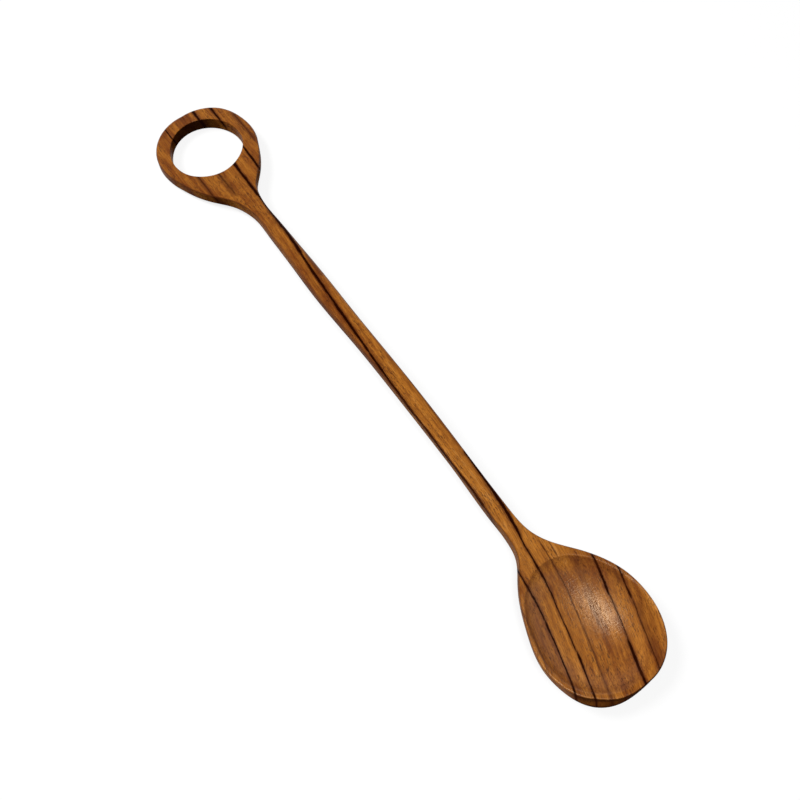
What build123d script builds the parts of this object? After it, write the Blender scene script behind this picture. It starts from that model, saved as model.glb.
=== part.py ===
from build123d import *
import math
import os

# A long slim wooden spoon, carved from one board: a hanging ring, a thin handle and an egg-shaped bowl.
# X runs along the spoon with the bowl's tip at +X, Y is across it and Z is up.
# The spoon lies as it rests on a table, on the bowl's belly and the far edge of the ring,
# so the table is the plane Z = 0, and the origin is below the middle of the spoon.

# Lengths along the spoon, in millimetres
overall_length = 305.0
shoulder_length = 50.0        # from the hole's centre to the waist behind the ring
belly_distance = 92.0         # from the hole's centre to the handle's widest place
bowl_length = 77.0            # from the waist before the bowl to the bowl's tip
nose_length = 24.2            # from the bowl's widest place to its tip

# Ring
hole_diameter = 31.5
side_band = 6.15              # wood on each side of the hole
far_band = 5.6                # wood between the hole and the far edge of the ring
ring_thickness = 6.4
ring_flank_angle = 66.0       # degrees from +X, where the round ring turns into its straight flank

# Handle
ring_waist_width = 6.8
handle_width = 8.0
bowl_waist_width = 6.2
handle_thickness = 6.2
neck_thickness = 7.6

# Bowl
bowl_width = 47.2
side_wall = 4.2               # height of the upright edge at the bowl's widest place
tip_wall = 4.2                # the same, at the tip
neck_radius = 20.0            # roundness of the belly across the place where the bowl begins
rim_land = 1.9                # flat wood between the hollow and the bowl's side
tip_land = 3.0                # the same, at the tip
hollow_depth = 8.0

# Heights of the top face above the table, and how it leans
crown_height = 13.6           # the handle's arch
rim_height = 12.7             # where the handle meets the bowl
tip_height = 11.2
ring_tilt = 2.1               # degrees, the ring leans down to its far edge
rim_tilt = 1.2                # degrees, the rim leans down to the tip
belly_slope = 4.2             # degrees, the underside falls where the handle meets the bowl

# Softened edges: rounded on the top face, bevelled on the underside
top_round = 1.0
hole_round = 0.8
hollow_round = 0.6
bottom_bevel = 1.2
hole_bevel = 0.5

margin = 2.0                  # how far rough shapes stand outside the finished spoon

# Points between two named places, each a share of the way along and a share of the way across.
# The ring's flank runs from the end of the round ring down to the waist of the handle.
flank_shares = [(0.161, 0.826), (0.359, 0.523), (0.556, 0.184), (0.803, 0.02)]
# The bowl's flank runs from the waist of the handle up to the widest place.
bowl_shares = [(0.21, 0.047), (0.362, 0.235), (0.533, 0.57), (0.743, 0.86)]
# The nose runs on to the tip, at these shares of a quarter turn.
nose_turn_shares = [0.14, 0.3, 0.46, 0.64, 0.82]
nose_power_share = 2.4        # 2 for an ellipse, more for a blunter nose
pull_share = 1.0              # how far a smooth curve follows the directions that it is given
ring_end_share = 0.45         # where the ring's flat faces end, on the way to its waist
neck_share = 0.4              # where the bowl's belly begins, on the way to the widest place
tip_slope_share = 2.0         # how steeply the belly ends at the tip, next to its mean slope
tip_curve_share = 0.6         # how round the belly is across the tip, next to its widest place
hollow_reach_share = 0.557    # how far back the hollow reaches, on the way from the widest place to the neck
hollow_lift_share = 0.6       # how far above the rim the hollow's round floor is centred
wall_limit_share = 0.45       # the most of a wall that one softened edge may take
land_limit_share = 0.55       # the same, of the flat land round the hollow
upright_share = 0.7           # how upright a face's direction is, for it to count as top or underside
across_share = 0.999          # how squarely an edge runs across the spoon, for it to count as a joint
middle_share = 0.5            # where on an edge its direction is taken

columns = 40                  # places along the spoon through which its underside runs
half_rows = 2                 # and places from the middle of the underside to each side
egg_steps = 12                # steps along the side of the egg that shapes the hollow
surface_tolerance = 0.001

# Places along the spoon, and the ring's size, worked out from the lengths
far_x = -overall_length / 2
tip_x = overall_length / 2
hole_x = far_x + far_band + hole_diameter / 2
ring_diameter = hole_diameter + 2 * side_band
ring_x = far_x + ring_diameter / 2
ring_waist_x = hole_x + shoulder_length
handle_x = hole_x + belly_distance
bowl_waist_x = tip_x - bowl_length
widest_x = tip_x - nose_length
crown_x = (handle_x + bowl_waist_x) / 2


def between(start, end, share):
    """The value a share of the way from start to end."""
    return start + (end - start) * share


def slope_of(angle):
    """Rise for each millimetre along, for an angle in degrees."""
    return math.tan(math.radians(angle))


def smooth_curve(x, knots):
    """The value at x of a smooth curve through knots, each a place, a value and a slope."""
    after = next((i for i, knot in enumerate(knots) if x < knot[0]), len(knots) - 1)
    after = max(after, 1)
    x0, v0, m0 = knots[after - 1]
    x1, v1, m1 = knots[after]
    span = x1 - x0
    t = (x - x0) / span
    from_start = v0 * (1 + 2 * t) * (1 - t) ** 2 + m0 * span * t * (1 - t) ** 2
    from_end = v1 * t * t * (3 - 2 * t) + m1 * span * t * t * (t - 1)
    return from_start + from_end


# The top line and the underside's middle line, as knots of a place, a height and a slope.
# Both run straight on past the ring's far edge and past the tip.
ring_end_x = between(hole_x, ring_waist_x, ring_end_share)
past_ring_x = far_x - margin
past_tip_x = tip_x + margin
rest_x = far_x + bottom_bevel     # the ring stands on the table where its bevel begins
ring_lean = slope_of(ring_tilt)
rim_lean = slope_of(rim_tilt)
under_tip = tip_height - tip_wall
tip_lean = tip_slope_share * under_tip / nose_length
top_knots = [
    (past_ring_x, ring_thickness + ring_lean * (past_ring_x - rest_x), ring_lean),
    (ring_end_x, ring_thickness + ring_lean * (ring_end_x - rest_x), ring_lean),
    (crown_x, crown_height, 0),
    (bowl_waist_x, rim_height, -rim_lean),
    (past_tip_x, tip_height - rim_lean * margin, -rim_lean),
]
under_knots = [
    (past_ring_x, ring_lean * (past_ring_x - rest_x), ring_lean),
    (ring_end_x, ring_lean * (ring_end_x - rest_x), ring_lean),
    (crown_x, crown_height - handle_thickness, 0),
    (bowl_waist_x, rim_height - neck_thickness, -slope_of(belly_slope)),
    (widest_x, 0, 0),
    (tip_x, under_tip, tip_lean),
    (past_tip_x, under_tip + tip_lean * margin, tip_lean),
]
# How fast the underside curves up to each side of its middle line: flat under the ring and the handle,
# and at the bowl's widest place just enough to leave the upright edge.
neck_x = between(bowl_waist_x, widest_x, neck_share)
side_curvature = (smooth_curve(widest_x, top_knots) - side_wall) / (bowl_width / 2) ** 2
curvature_knots = [
    (handle_x, 0, 0),
    (neck_x, 1 / (2 * neck_radius), 0),
    (widest_x, side_curvature, 0),
    (past_tip_x, side_curvature * tip_curve_share, 0),
]
# Half the width of the rough slabs that the spoon is cut from
slab_reach = max(bowl_width, ring_diameter) / 2 + margin


def smooth_edge(points, *directions):
    """A smooth curve through points that takes the given directions at its ends, or at every point."""
    return Spline(*points, tangents=directions, tangent_scalars=[pull_share] * len(directions))


def outline_wire():
    """The spoon's outline seen from above: a ring, its flanks, the handle, the bowl and its nose."""
    ring_radius = ring_diameter / 2
    end_angle = math.radians(ring_flank_angle)
    middle_angle = (math.pi + end_angle) / 2
    arc_middle = (ring_x + ring_radius * math.cos(middle_angle), ring_radius * math.sin(middle_angle))
    flank_start = (ring_x + ring_radius * math.cos(end_angle), ring_radius * math.sin(end_angle))
    flank_direction = (math.sin(end_angle), -math.cos(end_angle))
    ring_waist = (ring_waist_x, ring_waist_width / 2)
    handle = (handle_x, handle_width / 2)
    bowl_waist = (bowl_waist_x, bowl_waist_width / 2)
    widest = (widest_x, bowl_width / 2)

    flank = [
        (between(flank_start[0], ring_waist_x, along), between(ring_waist_width / 2, flank_start[1], across))
        for along, across in flank_shares
    ]
    bowl_side = [
        (between(bowl_waist_x, widest_x, along), between(bowl_waist_width / 2, bowl_width / 2, across))
        for along, across in bowl_shares
    ]
    nose = []
    for turn in nose_turn_shares:
        angle = turn * math.pi / 2
        along = math.sin(angle) ** (2 / nose_power_share)
        across = math.cos(angle) ** (2 / nose_power_share)
        nose.append((widest_x + nose_length * along, bowl_width / 2 * across))
    half = [
        ThreePointArc((far_x, 0), arc_middle, flank_start),
        smooth_edge([flank_start, *flank, ring_waist], flank_direction, (1, 0)),
        smooth_edge([ring_waist, handle, bowl_waist], (1, 0), (1, 0)),
        smooth_edge([bowl_waist, *bowl_side, widest, *nose, (tip_x, 0)], (1, 0), (0, -1)),
    ]
    other_half = [mirror(edge, about=Plane.XZ).edge() for edge in half]
    return Wire(half + other_half)


def below_top_line():
    """Everything below the top line: flat over the ring, arched over the handle and flat over the bowl."""
    places = [(x, 0, height) for x, height, slope in top_knots]
    directions = [(1, 0, slope) for x, height, slope in top_knots]
    arch = smooth_edge(places[1:-1], *directions[1:-1])
    rest = Polyline(*places[-2:], (past_tip_x, 0, -margin), (past_ring_x, 0, -margin), *places[:2])
    profile = Pos(0, -slab_reach, 0) * Face(Wire([arch, *rest.edges()]))
    return extrude(profile, 2 * slab_reach, dir=(0, 1, 0))


def above_underside():
    """Everything above the underside, whose sections across are parabolas along the middle line."""
    grid = []
    rows = [slab_reach * row / half_rows for row in range(-half_rows, half_rows + 1)]
    for column in range(columns + 1):
        x = between(past_ring_x, past_tip_x, column / columns)
        middle = smooth_curve(x, under_knots)
        curvature = smooth_curve(max(x, handle_x), curvature_knots)
        grid.append([Vector(x, y, middle + curvature * y * y) for y in rows])
    skin = Face.make_surface_from_array_of_points(grid, tol=surface_tolerance)
    return extrude(skin, 2 * crown_height, dir=(0, 0, 1))


def facing(body, side):
    """The body's faces that look up, for a side of 1, or down, for a side of -1."""
    return [face for face in body.faces() if side * face.normal_at().Z > upright_share]


def rim_edges(body, side):
    """The edges round all faces on that side, without the straight joints across the spoon between them."""
    edges = [edge for face in facing(body, side) for edge in face.edges()]
    return [edge for edge in edges if abs((edge % middle_share).Y) < across_share]


def sawn_body():
    """The outline cut through the shaped board, with its top and bottom edges softened."""
    plan = Pos(0, 0, -margin) * Face(outline_wire())
    board = extrude(plan, crown_height + 2 * margin, dir=(0, 0, 1))
    body = (board & below_top_line() & above_underside()).solid()

    thinnest = min(ring_waist_width, bowl_waist_width, handle_thickness, side_wall, tip_wall)
    body = body.fillet(min(top_round, land_limit_share * rim_land), rim_edges(body, 1))
    return body.chamfer(min(bottom_bevel, wall_limit_share * thinnest), None, rim_edges(body, -1))


def opening_edges(body, side):
    """The edges round the opening nearest the spoon's tip, in the top face or in the underside."""
    openings = [wire for face in facing(body, side) for wire in face.inner_wires()]
    return max(openings, key=lambda wire: wire.center().X).edges()


def bore_hole(body):
    """The hanging hole, square to the leaning ring, with both its edges softened."""
    ring_middle = smooth_curve(hole_x, under_knots) + ring_thickness / 2
    bore = Cylinder(hole_diameter / 2, 2 * crown_height)
    body = body - Pos(hole_x, 0, ring_middle) * Rot(0, -ring_tilt, 0) * bore
    wall_limit = wall_limit_share * ring_thickness
    body = body.chamfer(min(hole_bevel, wall_limit), None, opening_edges(body, -1))
    return body.fillet(min(hole_round, wall_limit), opening_edges(body, 1))


def hollow_cutter():
    """An egg turned about its long axis and flattened, which lies above the rim and leans with it."""
    lift = hollow_depth * hollow_lift_share
    depth_radius = hollow_depth + lift
    spread = 1 / math.sqrt(1 - (lift / depth_radius) ** 2)
    half_width = (bowl_width / 2 - rim_land) * spread
    neck_reach = (widest_x - bowl_waist_x) * hollow_reach_share
    points = []
    for step in range(egg_steps + 1):
        turn = math.pi * step / egg_steps
        reach = neck_reach if turn < math.pi / 2 else nose_length - tip_land
        points.append((-reach * spread * math.cos(turn), half_width * math.sin(turn)))
    egg_side = smooth_edge(points, (0, 1), (0, -1))
    egg = revolve(Face(Wire([egg_side, Line(points[-1], points[0])])), Axis.X)
    egg = scale(egg, by=(1, 1, depth_radius / half_width))
    rim = smooth_curve(widest_x, top_knots)
    return Pos(widest_x, 0, rim + lift) * Rot(0, rim_tilt, 0) * egg


def gouge_bowl(body):
    """The bowl's hollow, with its edge softened where it meets the rim."""
    body = body - hollow_cutter()
    return body.fillet(min(hollow_round, land_limit_share * rim_land), opening_edges(body, 1))


os.makedirs("parts", exist_ok=True)
spoon = gouge_bowl(bore_hole(sawn_body()))
export_step(spoon, "parts/spoon.step")
print("spoon", spoon.bounding_box(), "volume", round(spoon.volume), "valid", spoon.is_valid)
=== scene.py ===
import math

import bmesh
import bpy
import numpy as np
from mathutils import Matrix, Vector


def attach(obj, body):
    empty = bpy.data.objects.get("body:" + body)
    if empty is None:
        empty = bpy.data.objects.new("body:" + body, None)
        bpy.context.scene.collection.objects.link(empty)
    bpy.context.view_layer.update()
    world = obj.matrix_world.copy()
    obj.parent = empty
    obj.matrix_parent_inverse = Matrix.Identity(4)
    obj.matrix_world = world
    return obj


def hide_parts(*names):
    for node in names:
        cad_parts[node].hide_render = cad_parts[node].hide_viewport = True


# A long slim teak spoon with a hanging ring, lying on a white table.
# Sizes are in millimetres and turns in degrees. "Along" is the distance from the middle of the
# hanging hole towards the bowl, "across" is the distance from the middle line, and right is +Y.
mm = 0.001
holeX = -131.15      # where the middle of the hole lies in the frame
tiny = 1e-6          # for comparing lengths

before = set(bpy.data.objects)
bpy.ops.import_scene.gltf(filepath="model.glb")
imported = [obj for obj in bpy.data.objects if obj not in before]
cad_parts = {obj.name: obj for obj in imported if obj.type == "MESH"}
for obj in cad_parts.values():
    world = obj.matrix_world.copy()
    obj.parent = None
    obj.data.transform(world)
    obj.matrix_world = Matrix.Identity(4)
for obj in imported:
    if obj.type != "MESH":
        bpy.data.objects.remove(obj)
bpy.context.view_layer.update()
print("frame loaded")


def linearColour(hexText):
    # an sRGB hex value as the linear colour that the shaders take
    channels = [int(hexText[i:i + 2], 16) / 255 for i in (1, 3, 5)]
    return [c / 12.92 if c <= 0.04045 else ((c + 0.055) / 1.055) ** 2.4 for c in channels] + [1.0]


def addNode(tree, kind, *inputs, **settings):
    # adds a node with its settings and fills its sockets in order;
    # an input is a number, a colour, an output, or a node whose output in use is meant
    node = tree.nodes.new("ShaderNode" + kind)
    for name, value in settings.items():
        setattr(node, name, value)
    sockets = [socket for socket in node.inputs if socket.enabled]
    for socket, source in zip(sockets, inputs):
        if isinstance(source, bpy.types.Node):
            source = next(output for output in source.outputs if output.enabled)
        if isinstance(source, bpy.types.NodeSocket):
            tree.links.new(source, socket)
        else:
            socket.default_value = source
    return node


spoonShape = {
    "farAlong": -21.35, "tipAlong": 283.65, "widestAlong": 259.45,
    "ringDiameter": 43.8, "flankAngle": 66.0,
    "ringWaist": (50.0, 3.4), "handleBelly": (92.0, 4.0), "bowlWaist": (206.65, 3.1),
    "bowlHalfWidth": 23.6,
    # where the flanks pass, as shares of the way along and across
    "flankShares": [(0.32, 0.741), (0.48, 0.469), (0.64, 0.165), (0.84, 0.018)],
    "bowlShares": [(0.21, 0.047), (0.362, 0.235), (0.533, 0.57), (0.743, 0.86)],
    "noseShares": [0.14, 0.3, 0.46, 0.64, 0.82], "nosePower": 2.4,
    # points worked out on the ring's arc, its flank, the handle and the bowl
    "outlineSteps": (240, 300, 400, 700),
    # hand work: how far each side strays outwards from a true outline,
    # by the length round it from the far point
    "rightStray": [(0, -0.4), (8, 0.3), (17, 0.8), (30, 0.3), (45, 0.8), (58, 0.3), (68, -0.3),
                   (76, 0.4), (86, 1.1), (106, 1.2), (122, 0.9), (140, 0.3), (204, 0.2), (240, -0.3),
                   (262, -0.4), (278, -0.2), (292, 0.3), (306, -0.15), (317, -0.5), (332, -0.15),
                   (342, 0.0)],
    "leftStray": [(0, -0.4), (10, 0.0), (26, 0.1), (38, -0.4), (48, -0.1), (66, -0.1), (73, -0.6),
                  (82, -1.3), (94, -0.9), (108, -0.6), (126, -0.1), (162, -0.6), (192, -0.1),
                  (218, 0.4), (250, 1.1), (255, 0.7), (261, -0.2), (271, 0.1), (288, -0.5),
                  (302, -0.1), (314, -0.4), (326, 0.1), (342, 0.0)],
    # the hanging hole, and how far it strays from a circle, by turn from the handle by the right side
    "holeRadius": 15.75, "holeShift": (0.35, -0.3), "holeRound": 0.45,
    "holeStray": [(0, 0.0), (30, 0.0), (50, 0.4), (70, 0.7), (90, 0.5), (120, 0.0), (180, -0.2),
                  (250, -0.3), (275, 0.2), (300, 0.4), (325, 0.1), (360, 0.0)],
    # heights of the top line and of the underside's middle line: along, height and slope
    "topLine": [(-23.35, 6.261, 0.03667), (22.5, 7.942, 0.03667), (149.325, 13.6, 0.0),
                (206.65, 12.7, -0.02095), (285.65, 11.158, -0.02095)],
    "underLine": [(-23.35, -0.139, 0.03667), (22.5, 1.542, 0.03667), (149.325, 7.4, 0.0),
                  (206.65, 5.1, -0.07343), (259.45, 0.0, 0.0), (283.65, 7.0, 0.5785),
                  (285.65, 8.157, 0.5785)],
    # how strongly the underside curves up to its sides: along, curve and slope
    "underCurve": [(92.0, 0.0, 0.0), (227.77, 0.025, 0.0), (259.45, 0.01328, 0.0),
                   (285.65, 0.00797, 0.0)],
    # how round the edges are: the top's, by the place along, and the underside's
    "topRound": [(-21, 0.9), (30, 1.0), (60, 2.0), (105, 1.9), (150, 1.1), (206, 0.9), (228, 0.75),
                 (284, 0.75)],
    "underRound": 1.75,
    # the edge under the tip is sanded to a slope: the turn from the tip at which it faces,
    # its spread and its width, and where along the bowl it starts
    "tipSlope": (-40, 56, 2.3), "tipSlopeStart": [(240, 0.0), (262, 1.0)],
    # the bowl's hollow; beyond its round floor the floor climbs steeply, out of the rim's way
    "hollowDepth": 8.0, "hollowLift": 4.8, "neckReach": 29.4, "tipReach": 21.4,
    "hollowHalfWidth": 21.7, "hollowSkew": 0.045, "hollowPole": 255.0, "hollowClimb": 3.0,
    # how soft its edge is, by turn from the neck by the right side, and where that ends outside the edge
    "edgeSoft": [(0, 0.22), (30, 0.3), (62, 0.8), (85, 1.7), (125, 1.9), (155, 1.6), (180, 1.3),
                 (225, 1.1), (285, 0.95), (325, 0.3), (360, 0.22)],
    "edgeFade": [(1.0, 1.0), (1.25, 0.0)],
    # waves left by the sanding: height, length along, length and size of their bend,
    # length across, and the length along in which they drift sideways
    "waves": (0.04, 7.3, 17.0, 0.6, 6.1, 31.0),
    # mesh rows on the top, its edge, the wall, the underside, the hole's edge and the hollow
    "topRows": 16, "edgeRows": 8, "wallRows": 3, "underRows": 15, "holeRows": 7, "hollowRows": 44,
    # how the rows crowd towards the outline on the bowl and elsewhere, and in the hollow;
    # the handle's are even, which ends this far from its middle
    "bowlCrowding": 4.2, "ringCrowding": 2.6, "hollowCrowding": 3.4,
    "evenMiddle": 120.0, "evenSpan": [(70, 0.02), (95, 1.0)],
    # where the middle line leaves the hole's middle and where it meets the bowl's
    "leavesHole": [(16.1, 0.0), (40, 1.0)], "meetsBowl": [(206, 1.0), (222, 0.0)],
    "mergeDistance": 0.002,
}

# Mesh lines run from the hole, the middle line or the hollow's edge out to the outline.
# Each row: place along the outline, place on the inner line, and the lines up to it from the row before.
# The inner place is a turn round the hole or the hollow, and a place along on the handle and below.
ringLines = [(-21.35, 180, 0), (9.5, 62, 90), (16, 42, 12), (24, 20, 14), (30, 0, 12)]
handleLines = [(30, 16.1, 0), (38, 28, 16), (50, 48, 14), (60, 60, 8), (200, 200, 100),
               (210, 214, 14), (217, 224, 16), (221.5, 230.05, 16)]
bowlLines = [(221.5, 0, 0), (228, 20, 24), (235, 38, 22), (246, 66, 26), (259.45, 90, 26),
             (272, 121, 28), (280, 148, 24), (283.65, 180, 40)]
underLines = [(30, 16.1), (38, 28), (50, 48), (60, 60), (200, 200), (210, 212), (217, 220),
              (221.5, 226), (228, 233), (235, 239), (246, 249), (259.45, 259), (272, 262), (283.65, 262)]


def smoothCurve(x, knots):
    # between each two knots the cubic that has their values and slopes; a knot is a place, a value
    # and a slope
    places, values, slopes = np.array(knots, float).T
    k = np.clip(np.searchsorted(places, x, side="right") - 1, 0, len(places) - 2)
    span = places[k + 1] - places[k]
    t = (x - places[k]) / span
    fromStart = values[k] * (1 + 2 * t) * (1 - t) ** 2 + slopes[k] * span * t * (1 - t) ** 2
    fromEnd = values[k + 1] * t * t * (3 - 2 * t) + slopes[k + 1] * span * t * t * (t - 1)
    return fromStart + fromEnd


def smoothSteps(x, places):
    # eases from value to value with no slope at each place, and holds the first and last value
    knots = [(place, value, 0.0) for place, value in places]
    return smoothCurve(np.clip(x, knots[0][0], knots[-1][0]), knots)


def smoothThrough(x, places):
    # a smooth curve through places and values, whose slope at each is that of its neighbours
    places = np.array(places, float)
    slopes = np.gradient(places[:, 1], places[:, 0])
    return smoothCurve(np.clip(x, places[0, 0], places[-1, 0]), np.c_[places, slopes])


def curveThrough(points, startWay, endWay, count):
    # a cubic through the points with chord length as its parameter, leaving and arriving in the
    # given ways: its second slopes come from one set of equations, which make the first ones meet
    points = np.array(points, float)
    length = np.concatenate([[0], np.cumsum(np.hypot(*np.diff(points, axis=0).T))])
    step = np.diff(length)
    slope = np.diff(points, axis=0) / step[:, None]
    size = len(points)
    matrix = np.zeros((size, size))
    right = np.zeros((size, 2))
    inner = np.arange(1, size - 1)
    matrix[inner, inner - 1] = step[:-1]
    matrix[inner, inner] = 2 * (step[:-1] + step[1:])
    matrix[inner, inner + 1] = step[1:]
    right[1:-1] = 6 * np.diff(slope, axis=0)
    matrix[0, :2] = 2 * step[0], step[0]
    matrix[-1, -2:] = step[-1], 2 * step[-1]
    right[0] = 6 * (slope[0] - startWay)
    right[-1] = 6 * (np.array(endWay) - slope[-1])
    bend = np.linalg.solve(matrix, right)
    at = np.linspace(0, length[-1], count)
    k = np.clip(np.searchsorted(length, at, side="right") - 1, 0, size - 2)
    q = ((at - length[k]) / step[k])[:, None]
    p = 1 - q
    bow = (p ** 3 - p) * bend[k] + (q ** 3 - q) * bend[k + 1]
    return p * points[k] + q * points[k + 1] + bow * step[k][:, None] ** 2 / 6


def halfOutline(shape):
    # one side's outline as seen from above: the ring's arc, its flank, the handle, the bowl's side
    # and its nose, which is a quarter of an ellipse with blunter shoulders
    ringSteps, flankSteps, handleSteps, bowlSteps = shape["outlineSteps"]
    radius = shape["ringDiameter"] / 2
    ringAlong = shape["farAlong"] + radius
    turn = np.radians(np.linspace(180, shape["flankAngle"], ringSteps))
    ring = np.stack([ringAlong + radius * np.cos(turn), radius * np.sin(turn)], 1)
    waist, belly, neck = shape["ringWaist"], shape["handleBelly"], shape["bowlWaist"]
    widest = (shape["widestAlong"], shape["bowlHalfWidth"])
    flank = [(waist[0] * a, waist[1] + (radius - waist[1]) * b) for a, b in shape["flankShares"]]
    side = [(neck[0] + (widest[0] - neck[0]) * a, neck[1] + (widest[1] - neck[1]) * b)
            for a, b in shape["bowlShares"]]
    quarter = np.array(shape["noseShares"]) * math.pi / 2
    power = 2 / shape["nosePower"]
    nose = np.stack([widest[0] + (shape["tipAlong"] - widest[0]) * np.sin(quarter) ** power,
                     widest[1] * np.cos(quarter) ** power], 1)
    flankWay = (math.sin(turn[-1]), -math.cos(turn[-1]))
    tip = (shape["tipAlong"], 0)
    return np.concatenate([
        ring[:-1],
        curveThrough([ring[-1], *flank, waist], flankWay, (1, 0), flankSteps)[:-1],
        curveThrough([waist, belly, neck], (1, 0), (1, 0), handleSteps)[:-1],
        curveThrough([neck, *side, widest, *nose, tip], (1, 0), (0, -1), bowlSteps),
    ])


def hollowRadius(along, across, shape):
    # 0 at the middle of the hollow, 1 where its round floor would stand upright: the root of the
    # squared shares of its reach along, sheared a little, and across
    lift, depth = shape["hollowLift"], shape["hollowDepth"] + shape["hollowLift"]
    spread = 1 / math.sqrt(1 - (lift / depth) ** 2)
    skewed = along - shape["widestAlong"] - shape["hollowSkew"] * across
    reach = np.where(skewed < 0, shape["neckReach"], shape["tipReach"]) * spread
    return np.hypot(skewed / reach, across / (shape["hollowHalfWidth"] * spread))


def topHeight(along, across, shape):
    # the lower of two surfaces: the top line carried straight across, less the sanding's waves, and
    # the hollow's floor. Half of their sum, less the root of their squared difference and the edge's
    # squared softness, eases the edge between them. The waves are a bent sine along times a drifting
    # cosine across. The floor is half an ellipsoid, and a straight climb beyond it.
    height, length, bendLength, bend, acrossLength, driftLength = shape["waves"]
    waves = np.sin(along / length + bend * np.sin(along / bendLength))
    waves = waves * np.cos(across / acrossLength + along / driftLength)
    line = smoothCurve(along, shape["topLine"]) - height * (1 + waves)
    radius = hollowRadius(along, across, shape)
    lift, depth = shape["hollowLift"], shape["hollowDepth"] + shape["hollowLift"]
    floor = line + lift - depth * np.sqrt(np.clip(1 - radius ** 2, 0, 1))
    floor = floor + shape["hollowClimb"] * depth * np.maximum(radius - 1, 0)
    turn = np.degrees(np.arctan2(across, shape["widestAlong"] - along)) % 360
    soft = smoothSteps(turn, shape["edgeSoft"]) * smoothSteps(radius, shape["edgeFade"])
    return 0.5 * (line + floor - np.sqrt((line - floor) ** 2 + soft ** 2))


def underHeight(along, across, shape):
    # the underside's middle line plus a parabola to each side: its curve times the squared distance
    curve = smoothCurve(np.maximum(along, shape["underCurve"][0][0]), shape["underCurve"])
    return smoothCurve(along, shape["underLine"]) + curve * across ** 2


def roundedEdge(count):
    # a quarter round from its flat side on, as shares of its radius: how far in is one minus the
    # cosine, and how far down is one minus the sine
    arc = np.radians(np.linspace(90, 0, count))
    return 1 - np.cos(arc), 1 - np.sin(arc)


def crowdedShares(crowd, count):
    # shares from 0 to 1 along an exponential, close together at 0 and wide apart at 1
    return np.expm1(crowd * np.linspace(0, 1, count)) / np.expm1(crowd)


def squareTo(line):
    # the direction square to a line at each of its points
    way = np.gradient(line, axis=0)
    return np.stack([-way[:, 1], way[:, 0]], 1) / np.hypot(*way.T)[:, None]


def wrapGrid(outer, out, inner, under, onBowl, shape):
    # rows from the inner line over the top, the rounded edge, the wall and the rounded lower edge
    # to the underside's inner line; each row is a share of the way, with its height from above
    slopeFacing, slopeSpread, slopeWidth = shape["tipSlope"]
    facing = np.abs(np.degrees(np.arctan2(out[:, 1], out[:, 0])) - slopeFacing) / slopeSpread
    slope = slopeWidth * smoothSteps(facing, [(0, 1.0), (1, 0.0)])
    slope = slope * smoothSteps(outer[:, 0], shape["tipSlopeStart"])
    topEdge = outer - out * slope[:, None]     # inside the outline where the wall slopes

    crowd = np.where(onBowl, shape["bowlCrowding"], shape["ringCrowding"])[:, None]
    crowd = crowd * smoothSteps(np.abs(outer[:, :1] - shape["evenMiddle"]), shape["evenSpan"])
    topRound = smoothSteps(outer[:, :1], shape["topRound"])
    topInset = topEdge - out * topRound
    share = crowdedShares(crowd, shape["topRows"])
    top = inner[:, None] + share[..., None] * (topInset - inner)[:, None]
    topZ = topHeight(top[..., 0], top[..., 1], shape)

    inset, drop = [part[1:] for part in roundedEdge(shape["edgeRows"])]
    upper = topEdge[:, None] - out[:, None] * (topRound * inset)[..., None]
    upperZ = topHeight(upper[..., 0], upper[..., 1], shape) - topRound * drop
    underRound = shape["underRound"]
    lower = outer[:, None] - out[:, None] * (underRound * inset[::-1])[None, :, None]
    lowerZ = underHeight(lower[..., 0], lower[..., 1], shape) + underRound * drop[::-1]
    down = np.linspace(0, 1, shape["wallRows"] + 2)[None, 1:-1]
    wall = topEdge[:, None] + (outer - topEdge)[:, None] * down[..., None]
    wallZ = upperZ[:, -1:] + (lowerZ[:, :1] - upperZ[:, -1:]) * down

    underInset = outer - out * underRound
    back = np.linspace(0, 1, shape["underRows"])[None, :]
    bottom = underInset[:, None] + back[..., None] * (under - underInset)[:, None]
    bottomZ = underHeight(bottom[..., 0], bottom[..., 1], shape)
    return np.concatenate([np.concatenate([top, upper, wall, lower, bottom], 1),
                           np.concatenate([topZ, upperZ, wallZ, lowerZ, bottomZ], 1)[..., None]], 2)


def holeGrid(holeWay, radius, shape):
    # rows down the hole's wall, whose two edges are rounded: the hole's middle plus the radius each way
    inset, drop = [shape["holeRound"] * part for part in roundedEdge(shape["holeRows"])]
    spread = np.concatenate([inset, [0, 0], inset[::-1]])
    plan = np.array(shape["holeShift"]) + holeWay[:, None] * (radius[:, None] + spread)[..., None]
    high = topHeight(plan[..., 0], plan[..., 1], shape)[:, :len(drop)] - drop
    low = underHeight(plan[..., 0], plan[..., 1], shape)[:, -len(drop):] + drop[::-1]
    between = high[:, -1:] + (low[:, :1] - high[:, -1:]) * np.array([[1 / 3, 2 / 3]])
    return np.concatenate([plan, np.concatenate([high, between, low], 1)[..., None]], 2)


def hollowGrid(edge, shape):
    # straight lines, as seen from above, from the hollow's edge to its middle, laid on its floor
    inward = crowdedShares(shape["hollowCrowding"], shape["hollowRows"])
    pole = np.array([shape["hollowPole"], 0])
    hollow = edge[:, None] + inward[None, :, None] * (pole - edge)[:, None]
    hollowZ = topHeight(hollow[..., 0], hollow[..., 1], shape)
    return np.concatenate([hollow, hollowZ[..., None]], 2)


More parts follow.
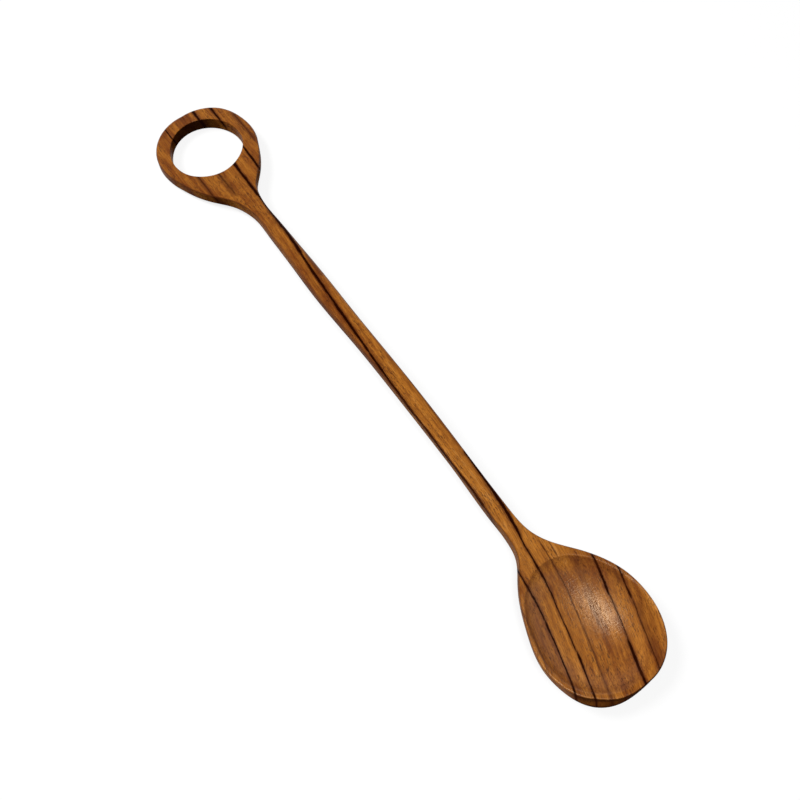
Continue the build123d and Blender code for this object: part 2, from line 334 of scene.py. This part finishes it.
def spoonSide(shape, side):
    # one side's three grids: the wrap from the top over the edge to the underside, the hole's wall
    # and the hollow; the outline is the true one, moved square to itself by its stray
    trueLine = halfOutline(shape)
    lengths = np.concatenate([[0], np.cumsum(np.hypot(*np.diff(trueLine, axis=0).T))])
    stray = smoothThrough(lengths, shape["rightStray"] if side > 0 else shape["leftStray"])
    outline = trueLine + squareTo(trueLine) * stray[:, None]
    outline[[0, -1], 1] = 0                    # both sides meet at the far point and the tip
    outline[:, 1] *= side
    outward = squareTo(outline) * side

    # mesh lines start at these lengths round the outline
    def lengthAt(rows):
        return np.interp([row[0] for row in rows], trueLine[:, 0], lengths)

    keys = ringLines + handleLines[1:] + bowlLines[1:]
    keyLength = lengthAt(keys)
    at = np.concatenate([np.linspace(a, b, row[2], endpoint=False)
                         for a, b, row in zip(keyLength, keyLength[1:], keys[1:])] + [keyLength[-1:]])
    outer, out = [np.stack([np.interp(at, lengths, line[:, i]) for i in (0, 1)], 1)
                  for line in (outline, outward)]
    onRing = at <= lengthAt(ringLines)[-1] + tiny
    onBowl = at >= lengthAt(bowlLines)[0] - tiny

    def innerPlace(rows):
        # where on the inner line each mesh line ends, by a table's second values
        return np.interp(at, lengthAt(rows), [row[1] for row in rows])

    # the inner line round the hole
    holeTurn = np.radians(innerPlace(ringLines)) * side
    radius = shape["holeRadius"] + smoothThrough(np.degrees(holeTurn) % 360, shape["holeStray"])
    holeMiddle = np.array(shape["holeShift"])
    holeWay = np.stack([np.cos(holeTurn), np.sin(holeTurn)], 1)
    holeRim = holeMiddle + holeWay * (radius + shape["holeRound"])[:, None]

    # the inner line round the hollow: two half ellipses of one width, sheared a little
    edgeTurn = np.radians(innerPlace(bowlLines))
    reach = np.where(edgeTurn < math.pi / 2, shape["neckReach"], shape["tipReach"])
    edgeAcross = side * shape["hollowHalfWidth"] * np.sin(edgeTurn)
    edgeAlong = shape["widestAlong"] - reach * np.cos(edgeTurn) + shape["hollowSkew"] * edgeAcross
    edge = np.stack([edgeAlong, edgeAcross], 1)

    def onMiddle(along):
        # half way between the sides' strays on the handle, in line with the hole and the bowl at its ends
        length = np.interp(along, trueLine[:, 0], lengths)
        middle = smoothThrough(length, shape["rightStray"]) - smoothThrough(length, shape["leftStray"])
        fromHole = smoothSteps(along, shape["leavesHole"])
        middle = middle / 2 * fromHole * smoothSteps(along, shape["meetsBowl"])
        return np.stack([along, middle + holeMiddle[1] * (1 - fromHole)], 1)

    inner = np.where(onBowl[:, None], edge, onMiddle(innerPlace(handleLines)))
    inner = np.where(onRing[:, None], holeRim, inner)
    under = np.where(onRing[:, None], holeRim, onMiddle(innerPlace(underLines)))
    return [wrapGrid(outer, out, inner, under, onBowl, shape),
            holeGrid(holeWay[onRing], radius[onRing], shape), hollowGrid(edge[onBowl], shape)]


def gridFaces(lines, rows, first=0):
    # four corners for each cell of a grid whose points are numbered line by line
    corner = first + (np.arange(lines - 1)[:, None] * rows + np.arange(rows - 1)[None, :])
    return np.stack([corner, corner + rows, corner + rows + 1, corner + 1], -1).reshape(-1, 4)


def makeSpoon(shape):
    # both sides' grids in one mesh, merged where they meet
    grids = spoonSide(shape, 1) + spoonSide(shape, -1)
    starts = np.cumsum([0] + [grid.shape[0] * grid.shape[1] for grid in grids])
    points = np.concatenate([grid.reshape(-1, 3) for grid in grids])
    points[:, 0] += holeX
    faces = np.concatenate([gridFaces(*grid.shape[:2], start) for grid, start in zip(grids, starts)])
    mesh = bpy.data.meshes.new("spoon_wood")
    mesh.from_pydata((points * mm).tolist(), [], faces.tolist())
    shell = bmesh.new()
    shell.from_mesh(mesh)
    bmesh.ops.remove_doubles(shell, verts=shell.verts, dist=shape["mergeDistance"] * mm)
    bmesh.ops.recalc_face_normals(shell, faces=shell.faces)
    openEdges = sum(not edge.is_manifold for edge in shell.edges)
    shell.to_mesh(mesh)
    shell.free()
    mesh.polygons.foreach_set("use_smooth", np.ones(len(mesh.polygons), bool))
    mesh.update()
    spoon = bpy.data.objects.new("spoon_wood", mesh)
    bpy.context.scene.collection.objects.link(spoon)
    print("spoon surface:", len(mesh.polygons), "faces, open edges", openEdges)
    return spoon


spoon = makeSpoon(spoonShape)
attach(spoon, "root")
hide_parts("spoon")

# Teak, carved, sanded and oiled: golden brown with dull brown bands, a few near-black growth lines,
# short dark pores along the grain and a soft satin sheen. Its end grain soaks up the oil and is
# dark and dull, and painted shade makes it darker still; painted shade also darkens rounded edges
# and parts of the hollow. All places are in the wood: "layer" is the distance across the grain.
teakLook = {
    # the growth layers' lean below the top face: how far a layer shifts along and across for each mm down
    "leanAlong": 0.36, "leanAcross": 0.265, "topLevel": 13.0,
    # along, and how far the layers have wandered across there, from the ring to the bowl's tip
    "layerPath": [(-22, 0.0), (30, 0.1), (45, 0.2), (58, -0.7), (72, -1.9), (86, -3.2), (102, -4.5),
                  (118, -5.6), (134, -6.6), (155, -7.2), (176, -7.7), (190, -7.9), (200, -8.5),
                  (210.6, -9.8), (220.7, -11.6), (230.8, -13.1), (240.7, -14.8), (251.9, -17.9),
                  (258.1, -19.7), (265.1, -21.9), (275.2, -25.8), (284, -29.4)],
    "alongSpan": (-40.0, 300.0), "pathSpan": (-36.0, 4.0), "layerSpan": (-28.0, 56.0),
    # how far they wander on from the path's last place to the span's end
    "pathBeyond": -4.0,
    # and how they waver: length and width of the waves, detail and roughness of the noise, and height
    "waver": (14, 9, 3.0, 0.6, 0.9),
    # how golden each layer is, from brown at 0 to gold at 1
    "layerTone": [(-28, 0.5), (-20, 0.45), (-14, 0.55), (-9, 0.4), (-5, 0.6), (-2.6, 0.42), (0.5, 0.36),
                  (3.0, 0.45), (5.0, 0.66), (8.5, 0.8), (10.6, 0.55), (12.4, 0.62), (14.5, 0.72),
                  (16.5, 0.5), (19, 0.66), (22, 0.5), (24.5, 0.3), (27, 0.52), (30, 0.4), (32.5, 0.58),
                  (35.5, 0.62), (38, 0.4), (40.5, 0.5), (43, 0.9), (48, 0.95), (56, 0.9)],
    # patches lighter or darker than their layer: along, layer, reach along, reach across, how much; most
    # are the wood's own tone, and the few marked below are painted light
    "patches": [
        (8, 20, 24, 7, -0.25), (27, 7, 16, 3.5, -0.2), (24, 0, 16, 5, 0.25), (28, -10.5, 13, 3.5, -0.5),
        (17, -17.5, 8, 2.5, -0.3), (58, 1.5, 22, 3, 0.35), (82, 5.9, 22, 1.8, -0.55),
        # the patch at along 165, layer 3.0 is a painted highlight on the handle's rounded left edge
        (116, 2, 20, 3, 0.45), (165, 3.0, 24, 2, 0.5), (232, 6, 10, 7, 0.1), (232, 21.5, 9, 5, 0.4),
        # the patches at along 256 layer 1.5, 270 layer 5.5, 240 layer 12, 245 layer 18 and 246 layer 34
        # are painted shade in the hollow's left side and neck end
        (266, 6, 12, 2.2, -0.5), (255, -3.5, 15, 2, 0.35), (256, 1.5, 18, 5, -0.3),
        (270, 5.5, 11, 4, -0.2), (240, 12, 9, 9, -0.3), (245, 18, 9, 7, -0.25), (246, 34, 9, 6, -0.35),
        (274, 24, 12, 3.5, 0.2), (276, 29, 12, 3, 0.2), (268, 39, 11, 4, 0.25),
    ],
    # how much lighter or darker the whole width is along the spoon: partly the wood's own tone and partly
    # painted light, darker towards the ring and lighter on the handle near the bowl
    "alongToneAndLight": [(-40, -0.4), (-16, -0.3), (-6, -0.12), (20, -0.14), (32, -0.1), (44, -0.05),
                  (66, -0.02), (80, -0.15), (92, -0.3), (104, -0.36), (124, -0.28), (138, 0.0),
                  (155, 0.12), (175, 0.2), (190, 0.36), (205, 0.32), (215, 0.24), (226, 0.2),
                  (234, 0.0), (246, -0.1), (258, 0.0), (270, -0.02), (280, -0.1), (300, -0.1)],
    # growth lines: from along, its layer, to along, its layer, half width, strength
    "growthLines": [
        # on the ring
        (-28, -9.7, -4, -9.6, 0.38, 1.0), (-28, 5.3, -4, 5.4, 0.55, 1.0), (-26, 13.0, 1, 12.9, 0.5, 0.9),
        (-11, 19.6, 16, 19.4, 1.0, 0.66), (7, 13.5, 33, 11.9, 0.4, 1.0),
        (9, -11.2, 35, -11.7, 0.55, 0.68), (13, -3.4, 36, -3.3, 0.8, 0.66),
        (9, 5.0, 33, 4.6, 0.64, 1.0), (24, 4.7, 44, 4.0, 0.55, 1.0),
        # on the handle
        (34, 4.1, 62, 3.9, 0.6, 1.0), (52, 4.4, 77, 4.2, 0.72, 1.0), (60, 4.1, 130, 4.1, 0.5, 1.0),
        (62, 5.9, 90, 6.2, 1.1, 0.55), (122, 4.1, 162, 3.7, 0.48, 1.0), (152, 3.8, 206, 4.1, 0.42, 0.9),
        (128, 10.6, 186, 10.6, 0.7, 0.52), (176, 10.6, 200, 10.3, 0.5, 1.0),
        (190, 4.6, 228, 3.4, 0.5, 0.66), (190, 10.3, 222, 10.5, 0.58, 1.0),
        # on the bowl
        (206, 10.3, 252, 10.2, 0.34, 0.95), (240, 10.2, 268, 10.7, 0.32, 0.8),
        (260, 10.8, 292, 10.9, 0.36, 0.95), (222, 3.1, 252, 3.9, 0.36, 0.95),
        (244, 3.9, 284, 4.4, 0.36, 0.95), (234, -2.7, 264, -2.5, 0.35, 0.6),
        (219, 15.7, 262, 16.7, 0.3, 0.68), (254, 16.6, 290, 16.7, 0.5, 0.62),
        (220, 18.9, 236, 18.7, 0.25, 0.66), (232, 24.2, 262, 23.6, 1.6, 0.42),
        (234, 30.4, 259, 30.6, 0.42, 1.0), (250, 30.7, 277, 31.0, 0.4, 0.76),
        (267, 30.8, 290, 30.8, 0.42, 1.0), (243, 35.7, 257, 35.9, 0.8, 0.55),
        (241, 37.2, 264, 37.6, 0.42, 0.95), (256, 37.7, 292, 37.7, 0.45, 0.72),
        (258, 38.7, 290, 38.9, 1.3, 0.45),
    ],
    "lineFade": 6.0, "haloWidth": 2.8,
    # noises drawn out along the grain: length and width in millimetres, detail, roughness, and how
    # much deeper than wide they are; the pores are some 0.35 mm wide, real ones 0.2, so that they show
    "noiseDepth": 2.0,
    "noises": {"broad": (80, 2.6, 2, 0.5), "narrow": (30, 0.8, 3, 0.5), "mottle": (5, 2.2, 3, 0.5),
               "fine": (6, 0.28, 4, 0.6), "pores": (1.6, 0.34, 1, 0.5), "poreCrowds": (14, 4, 2, 0.5),
               "ragged": (3.5, 0.6, 3, 0.65), "swell": (16, 5, 2, 0.5), "flecks": (0.5, 2, 2, 0.5)},
    # what is made of each noise: from a low to a high value of it, and the result at both
    "toneChange": {"broad": (0.3, 0.7, -0.3, 0.3), "narrow": (0.3, 0.7, -0.22, 0.22),
                   "mottle": (0.3, 0.7, -0.2, 0.2)},
    "fineShown": (0.4, 0.72, 0.0, 0.6), "poresShown": (0.53, 0.68, 0.0, 1.0),
    "poreCrowding": (0.4, 0.62, 0.2, 0.75), "flecksShown": (0.45, 0.65, 0.0, 1.0),
    "raggedness": (0.25, 0.75, -0.22, 0.22), "swelling": (0.3, 0.7, 0.75, 1.25),
    # and of a growth line's nearness
    "haloShown": (0.1, 0.62, 0.0, 0.72), "coreShown": (0.5, 0.78, 0.0, 1.0),
    # painted shade and handling wear darken rounded edges that face between up and sideways, most on the
    # ring
    "edgeFacing": (0.9, 0.6, 0.0, 1.0), "upperFacing": (0.05, 0.4, 0.0, 1.0),
    "wornAndShaded": (30.0, 60.0, 0.85, 0.5),
    # end grain, darkened further by painted shade, is on steep walls that face along the spoon, less dark
    # where they face the ring's end and the lamp, and on the slope under the tip
    "endFacing": (0.4, 0.95, 0.0, 1.0), "steepFacing": (0.75, 0.4, 0.0, 1.0),
    "ringwards": (-0.2, 0.2, 0.4, 1.0), "tipFacing": (0.25, 0.55, 0.0, 1.0),
    "nearTip": (256.0, 268.0, 0.0, 0.85), "soakedAndShaded": 0.9,
    # colours, and the tones at which the first four stand
    "umber": "#55260a", "brown": "#7f4213", "gold": "#bb7528", "pale": "#cf8f4a",
    "tones": (-0.6, 0.0, 1.05, 1.6), "dark": "#351408", "black": "#220500", "endGrainShade": "#260c04",
    # the sheen: its colour, how rough the wood is by its pores and its end grain, and how glossy it is
    # by the way it faces; growth lines, end grain and all outside an oval on the bowl are duller
    "sheen": "#ffe3bd", "roughByPores": (0.0, 0.6, 0.32, 0.5), "roughByEnds": (0.0, 1.0, 0.0, 0.35),
    "glossByFacing": (0.2, 0.9, 0.02, 0.7), "glossByCore": (0.0, 1.0, 1.0, 0.1),
    "glossByEnds": (0.0, 0.6, 1.0, 0.1), "glossByOval": (0.8, 0.95, 1.0, 0.4),
    # that oval, which leaves out the bowl's right edge: middle along and across, reach both ways
    "oval": (257.0, -5.0, 27.0, 26.7),
    # relief of the grain, the flecks and the pores: the shares of the first and the last in it,
    # its strength, and its height in millimetres
    "grainRelief": 0.4, "poreRelief": -1.5, "reliefStrength": 0.45, "reliefHeight": 0.04,
}


def bendCurve(node, points, span, height):
    # gives a curve node its points, which are places within the span and values within the height
    spots = (np.array(points) - [span[0], height[0]]) / [span[1] - span[0], height[1] - height[0]]
    bends = node.mapping.curves[0].points
    bends[0].location, bends[1].location = spots[0], spots[-1]
    for spot in spots[1:-1]:
        bends.new(*spot)
    node.mapping.update()


def placeInWood(tree, look, shape, spot):
    # where a point lies in the wood, in millimetres: along and across as the spoon has them,
    # shifted by the layers' lean, and its layer, with their path and a small waver taken out
    place = addNode(tree, "VectorMath", spot, [1 / mm] * 3, (-holeX, 0, 0), operation="MULTIPLY_ADD")
    axes = addNode(tree, "SeparateXYZ", place).outputs
    below = addNode(tree, "Math", look["topLevel"], axes["Z"], operation="SUBTRACT")
    along = addNode(tree, "Math", below, look["leanAlong"], axes["X"], operation="MULTIPLY_ADD")
    across = addNode(tree, "Math", below, -look["leanAcross"], axes["Y"], operation="MULTIPLY_ADD")

    # the path is given on the top face, and the lean carries it up to the top level
    path = np.array(look["layerPath"], float)
    gap = look["topLevel"] - smoothCurve(path[:, 0], shape["topLine"])
    path = path + np.stack([look["leanAlong"] * gap, -look["leanAcross"] * gap], 1)
    alongSpan, pathSpan = look["alongSpan"], look["pathSpan"]
    path = [(alongSpan[0], path[0, 1]), *path, (alongSpan[1], path[-1, 1] + look["pathBeyond"])]
    share = addNode(tree, "MapRange", along, *alongSpan, 0.0, 1.0)
    middle = addNode(tree, "FloatCurve", 1.0, share)
    bendCurve(middle, path, alongSpan, pathSpan)
    middle = addNode(tree, "MapRange", middle, 0.0, 1.0, *pathSpan)
    length, width, detail, roughness, height = look["waver"]
    waver = addNode(tree, "CombineXYZ", along, across, below)
    waver = addNode(tree, "VectorMath", waver, (1 / length, 1 / width, 1 / width), operation="MULTIPLY")
    waver = addNode(tree, "TexNoise", waver, 1.0, detail, roughness)
    waver = addNode(tree, "Math", waver, height, -height / 2, operation="MULTIPLY_ADD")
    layer = addNode(tree, "Math", across, middle, operation="SUBTRACT")
    layer = addNode(tree, "Math", layer, waver, operation="ADD")
    return place, along, layer, below


def woodTone(tree, look, along, grain, layer, noise):
    # each layer's own tone, with the noises' changes, the patches and the change along the spoon added;
    # some patches and the change along the spoon are painted light and shade
    share = addNode(tree, "MapRange", layer, *look["layerSpan"], 0.0, 1.0)
    tone = addNode(tree, "FloatCurve", 1.0, share)
    bendCurve(tone, look["layerTone"], look["layerSpan"], (0.0, 1.0))
    for name, change in look["toneChange"].items():
        change = addNode(tree, "MapRange", noise[name], *change, interpolation_type="SMOOTHSTEP")
        tone = addNode(tree, "Math", tone, change, operation="ADD")
    for alongMiddle, layerMiddle, alongReach, layerReach, lift in look["patches"]:
        off = addNode(tree, "VectorMath", grain, (1 / alongReach, 1 / layerReach, 0),
                      (-alongMiddle / alongReach, -layerMiddle / layerReach, 0), operation="MULTIPLY_ADD")
        off = addNode(tree, "VectorMath", off, operation="LENGTH")
        lift = addNode(tree, "MapRange", off, 0.0, 1.0, lift, 0.0, interpolation_type="SMOOTHSTEP")
        tone = addNode(tree, "Math", tone, lift, operation="ADD")
    share = addNode(tree, "MapRange", along, *look["alongSpan"], 0.0, 1.0)
    lift = addNode(tree, "FloatCurve", 1.0, share)
    bendCurve(lift, look["alongToneAndLight"], look["alongSpan"], (-1.0, 1.0))
    lift = addNode(tree, "MapRange", lift, 0.0, 1.0, -1.0, 1.0)
    return addNode(tree, "Math", tone, lift, operation="ADD")


def nearestLine(tree, look, along, layer, noise):
    # how near a point lies to its strongest growth line: 1 in the middle of a strong one, 0 outside
    # its halo, faded at both ends; the lines are ragged, and they swell and shrink along the grain
    ragged = addNode(tree, "MapRange", noise["ragged"], *look["raggedness"])
    ragged = addNode(tree, "Math", layer, ragged, operation="ADD")
    swell = addNode(tree, "MapRange", noise["swell"], *look["swelling"], interpolation_type="SMOOTHSTEP")
    strongest = 0.0
    for fromAlong, fromLayer, toAlong, toLayer, halfWidth, strength in look["growthLines"]:
        centre = addNode(tree, "MapRange", along, fromAlong, toAlong, fromLayer, toLayer)
        off = addNode(tree, "Math", ragged, centre, operation="SUBTRACT")
        off = addNode(tree, "Math", off, operation="ABSOLUTE")
        off = addNode(tree, "Math", off, swell, operation="DIVIDE")
        near = addNode(tree, "MapRange", off, halfWidth * look["haloWidth"], 0.0, 0.0, strength)
        for end, fade in ((fromAlong, look["lineFade"]), (toAlong, -look["lineFade"])):
            shown = addNode(tree, "MapRange", along, end, end + fade, 0.0, 1.0,
                            interpolation_type="SMOOTHSTEP")
            near = addNode(tree, "Math", near, shown, operation="MULTIPLY")
        strongest = addNode(tree, "Math", near, strongest, operation="MAXIMUM")
    return strongest


def shadedWornEdges(tree, look, facing, along):
    # how much painted shade and handling wear darken a rounded edge
    rounded = addNode(tree, "MapRange", facing["Z"], *look["edgeFacing"], interpolation_type="SMOOTHSTEP")
    upper = addNode(tree, "MapRange", facing["Z"], *look["upperFacing"], interpolation_type="SMOOTHSTEP")
    rounded = addNode(tree, "Math", rounded, upper, operation="MULTIPLY")
    wornAndShaded = addNode(tree, "MapRange", along, *look["wornAndShaded"])
    return addNode(tree, "Math", rounded, wornAndShaded, operation="MULTIPLY")


def endGrainShadeShare(tree, look, facing, place):
    # how far a point lies in end grain, which also carries painted shade: on a steep wall, or on the
    # slope under the tip, whichever is more
    wall = addNode(tree, "Math", facing["X"], operation="ABSOLUTE")
    wall = addNode(tree, "MapRange", wall, *look["endFacing"], interpolation_type="SMOOTHSTEP")
    steep = addNode(tree, "MapRange", facing["Z"], *look["steepFacing"], interpolation_type="SMOOTHSTEP")
    wall = addNode(tree, "Math", wall, steep, operation="MULTIPLY")
    ringwards = addNode(tree, "MapRange", facing["X"], *look["ringwards"])
    wall = addNode(tree, "Math", wall, ringwards, operation="MULTIPLY")
    tip = addNode(tree, "MapRange", facing["X"], *look["tipFacing"], interpolation_type="SMOOTHSTEP")
    placeAlong = addNode(tree, "SeparateXYZ", place).outputs["X"]
    nearTip = addNode(tree, "MapRange", placeAlong, *look["nearTip"], interpolation_type="SMOOTHSTEP")
    tip = addNode(tree, "Math", tip, nearTip, operation="MULTIPLY")
    return addNode(tree, "Math", wall, tip, operation="MAXIMUM")


def satinGloss(tree, look, facing, place, core, endGrainShade):
    # the sheen's strength: full on top, and less by each of what dulls it
    gloss = addNode(tree, "MapRange", facing["Z"], *look["glossByFacing"])
    middleAlong, middleAcross, reachAlong, reachAcross = look["oval"]
    oval = addNode(tree, "VectorMath", place, (1 / reachAlong, 1 / reachAcross, 0),
                   (-middleAlong / reachAlong, -middleAcross / reachAcross, 0), operation="MULTIPLY_ADD")
    oval = addNode(tree, "VectorMath", oval, operation="LENGTH")
    oval = addNode(tree, "MapRange", oval, *look["glossByOval"], interpolation_type="SMOOTHSTEP")
    gloss = addNode(tree, "Math", gloss, oval, operation="MULTIPLY")
    core = addNode(tree, "MapRange", core, *look["glossByCore"])
    gloss = addNode(tree, "Math", gloss, core, operation="MULTIPLY")
    endGrainShade = addNode(tree, "MapRange", endGrainShade, *look["glossByEnds"])
    return addNode(tree, "Math", gloss, endGrainShade, operation="MULTIPLY")


def makeTeak(look, shape):
    # the colours are laid over one another: tone with some painted light, fine grain, pores, growth
    # lines, painted shade and wear on edges, end grain with painted shade
    material = bpy.data.materials.new("oiledTeak")
    material.use_nodes = True
    tree = material.node_tree
    shader = tree.nodes["Principled BSDF"]
    names = ("umber", "brown", "gold", "pale", "dark", "black", "endGrainShade")
    umber, brown, gold, pale, dark, black, endDark = [linearColour(look[name]) for name in names]

    spot = addNode(tree, "TexCoord").outputs
    facing = addNode(tree, "SeparateXYZ", spot["Normal"]).outputs
    place, along, layer, below = placeInWood(tree, look, shape, spot["Object"])
    grain = addNode(tree, "CombineXYZ", along, layer, below)
    noise = {}
    for name, (length, width, detail, roughness) in look["noises"].items():
        fineness = (1 / length, 1 / width, 1 / (look["noiseDepth"] * width))
        drawn = addNode(tree, "VectorMath", grain, fineness, operation="MULTIPLY")
        noise[name] = addNode(tree, "TexNoise", drawn, 1.0, detail, roughness)

    tones = look["tones"]
    tone = woodTone(tree, look, along, grain, layer, noise)
    share = addNode(tree, "MapRange", tone, tones[0], tones[-1], 0.0, 1.0)
    colour = addNode(tree, "ValToRGB", share)
    steps = colour.color_ramp.elements
    for step, shade in zip(tones, (umber, brown, gold, pale)):
        step = (step - tones[0]) / (tones[-1] - tones[0])
        element = steps[0] if step == 0 else steps[-1] if step == 1 else steps.new(step)
        element.color = shade
    fine = addNode(tree, "MapRange", noise["fine"], *look["fineShown"], interpolation_type="SMOOTHSTEP")
    colour = addNode(tree, "Mix", fine, colour, umber, data_type="RGBA")
    pores = addNode(tree, "MapRange", noise["pores"], *look["poresShown"],
                    interpolation_type="SMOOTHSTEP")
    crowds = addNode(tree, "MapRange", noise["poreCrowds"], *look["poreCrowding"],
                     interpolation_type="SMOOTHSTEP")
    pores = addNode(tree, "Math", pores, crowds, operation="MULTIPLY")
    colour = addNode(tree, "Mix", pores, colour, dark, data_type="RGBA")

    near = nearestLine(tree, look, along, layer, noise)
    halo = addNode(tree, "MapRange", near, *look["haloShown"], interpolation_type="SMOOTHSTEP")
    colour = addNode(tree, "Mix", halo, colour, umber, data_type="RGBA")
    core = addNode(tree, "MapRange", near, *look["coreShown"], interpolation_type="SMOOTHSTEP")
    colour = addNode(tree, "Mix", core, colour, black, data_type="RGBA")
    rounded = shadedWornEdges(tree, look, facing, along)
    # painted shade, with some handling wear, on rounded edges
    colour = addNode(tree, "Mix", rounded, colour, umber, data_type="RGBA")
    endGrainShade = endGrainShadeShare(tree, look, facing, place)
    # end grain darkened, with painted shade added on walls that face away from the lamp and on the slope
    # under the tip
    soakedAndShaded = addNode(tree, "Math", endGrainShade, look["soakedAndShaded"], operation="MULTIPLY")
    colour = addNode(tree, "Mix", soakedAndShaded, colour, endDark, data_type="RGBA")
    tree.links.new(colour.outputs[2], shader.inputs["Base Color"])

    # the sheen is broken up by the pores, and by flecks across the grain, which show where it is strong
    rough = addNode(tree, "MapRange", pores, *look["roughByPores"])
    dull = addNode(tree, "MapRange", endGrainShade, *look["roughByEnds"])
    rough = addNode(tree, "Math", rough, dull, operation="ADD")
    tree.links.new(rough.outputs[0], shader.inputs["Roughness"])
    gloss = satinGloss(tree, look, facing, place, core, endGrainShade)
    tree.links.new(gloss.outputs[0], shader.inputs["Specular IOR Level"])
    shader.inputs["Specular Tint"].default_value = linearColour(look["sheen"])
    flecks = addNode(tree, "MapRange", noise["flecks"], *look["flecksShown"],
                     interpolation_type="SMOOTHSTEP")
    relief = addNode(tree, "Math", fine, look["grainRelief"], flecks, operation="MULTIPLY_ADD")
    relief = addNode(tree, "Math", pores, look["poreRelief"], relief, operation="MULTIPLY_ADD")
    bump = addNode(tree, "Bump", look["reliefStrength"], look["reliefHeight"] * mm)
    tree.links.new(relief.outputs[0], bump.inputs["Height"])
    tree.links.new(bump.outputs[0], shader.inputs["Normal"])
    return material


spoon.data.materials.append(makeTeak(teakLook, spoonShape))
print("teak made")

studio = {
    # the photograph's camera: what it looks at, from which way and how far, and its lens
    "aim": (13.906, -0.850, 0.0), "azimuth": 140.737, "elevation": 67.571, "roll": 2.987,
    "distance": 358.98, "focalLength": 40.5, "sensor": 36.0, "clip": (0.01, 20.0),
    "ambient": 0.2,     # the room's plain level
    # each lamp: the way to it from the spoon's middle, how far, its size, the light it gives,
    # and whether the sheen shows it
    "lamps": {"softbox": ((-0.5, -0.36, 0.79), 1500, 500, 0.58, False),
              "window": ((0.25, -0.085, 0.965), 1500, 320, 0.4, True)},
    "floorSize": 6000, "backdropHeight": 2500, "backdropSides": 48,
    # the white that the camera sees, and the share of it on the floor that shows shadow
    "whiteness": 1.02, "floorShade": 0.2,
}


def lookingAt(place, aim, roll):
    # a matrix at the place whose -Z axis points at the aim, turned by the roll about it
    sight = (Vector(aim) - Vector(place)).normalized()
    level = sight.cross(Vector((0, 0, 1))).normalized()
    upright = level.cross(sight)
    right = level * math.cos(roll) + upright * math.sin(roll)
    up = upright * math.cos(roll) - level * math.sin(roll)
    matrix = Matrix((right, up, -sight)).transposed().to_4x4()
    matrix.translation = place
    return matrix


def makeCamera(studio):
    # it stands back from the aim, against its sight
    azimuth, elevation = math.radians(studio["azimuth"]), math.radians(studio["elevation"])
    level = math.cos(elevation)
    sight = Vector((level * math.cos(azimuth), level * math.sin(azimuth), -math.sin(elevation)))
    aim = Vector(studio["aim"]) * mm
    data = bpy.data.cameras.new("photoCamera")
    data.lens, data.sensor_width = studio["focalLength"], studio["sensor"]
    data.sensor_fit = "HORIZONTAL"
    data.clip_start, data.clip_end = studio["clip"]
    camera = bpy.data.objects.new("photoCamera", data)
    bpy.context.scene.collection.objects.link(camera)
    place, roll = aim - sight * studio["distance"] * mm, math.radians(studio["roll"])
    camera.matrix_world = lookingAt(place, aim, roll)
    bpy.context.scene.camera = camera


def makeLamps(studio):
    # a share of 1 makes a white thing that faces the lamp render white: the power is the share times
    # pi squared times the distance squared
    for name, (way, distance, size, share, inSheen) in studio["lamps"].items():
        data = bpy.data.lights.new(name, "AREA")
        data.shape, data.size = "DISK", size * mm
        data.energy = share * (math.pi * distance * mm) ** 2
        lamp = bpy.data.objects.new(name, data)
        bpy.context.scene.collection.objects.link(lamp)
        lamp.visible_glossy = inSheen
        aim = Vector(studio["aim"]) * mm
        lamp.matrix_world = lookingAt(aim + Vector(way).normalized() * distance * mm, aim, 0)


def makeSurroundings(studio):
    # a white floor and a round white wall; the camera and the sheen see them white, with the spoon's
    # shadow on the floor, and other rays meet a dim floor and the room's plain level on the wall
    world = bpy.data.worlds.new("room")
    bpy.context.scene.world = world
    world.use_nodes = True
    world.node_tree.nodes["Background"].inputs["Strength"].default_value = studio["ambient"]
    world.node_tree.nodes["Background"].inputs["Color"].default_value = (1, 1, 1, 1)

    # the floor is a square of four faces, and the wall stands on a circle as wide as the floor
    half = studio["floorSize"] / 2 * mm
    side = np.linspace(-half, half, 3)
    corners = np.stack(np.meshgrid(side, side, indexing="ij"), -1).reshape(-1, 2)
    floorMesh = bpy.data.meshes.new("table")
    floorMesh.from_pydata(np.c_[corners, np.zeros(len(corners))].tolist(), [], gridFaces(3, 3).tolist())
    floor = bpy.data.objects.new("table", floorMesh)
    turn = np.linspace(0, 2 * math.pi, studio["backdropSides"] + 1)
    rings = [np.stack([half * np.cos(turn), half * np.sin(turn), np.full(len(turn), height)], 1)
             for height in (0, studio["backdropHeight"] * mm)]
    wallMesh = bpy.data.meshes.new("backdrop")
    wallMesh.from_pydata(np.concatenate(rings).tolist(), [], gridFaces(2, len(turn)).tolist())
    wall = bpy.data.objects.new("backdrop", wallMesh)

    for thing, shade in ((floor, studio["floorShade"]), (wall, 0.0)):
        bpy.context.scene.collection.objects.link(thing)
        material = bpy.data.materials.new(thing.name + "White")
        material.use_nodes = True
        tree = material.node_tree
        tree.nodes.clear()
        path = addNode(tree, "LightPath").outputs
        seen = addNode(tree, "Math", path["Is Camera Ray"], path["Is Glossy Ray"], operation="MAXIMUM")
        seen = addNode(tree, "Math", seen, path["Is Transmission Ray"], operation="MAXIMUM")
        bright = addNode(tree, "Emission", (1, 1, 1, 1), studio["whiteness"] - shade)
        if thing is floor:
            plain = addNode(tree, "BsdfDiffuse", (shade, shade, shade, 1))
            bright = addNode(tree, "AddShader", bright, plain)
        else:
            plain = addNode(tree, "Emission", (1, 1, 1, 1), studio["ambient"])
        addNode(tree, "OutputMaterial", addNode(tree, "MixShader", seen, plain, bright))
        thing.data.materials.append(material)


makeCamera(studio)
makeLamps(studio)
makeSurroundings(studio)
bpy.context.scene.view_settings.view_transform = "Standard"
print("table, light and camera made")
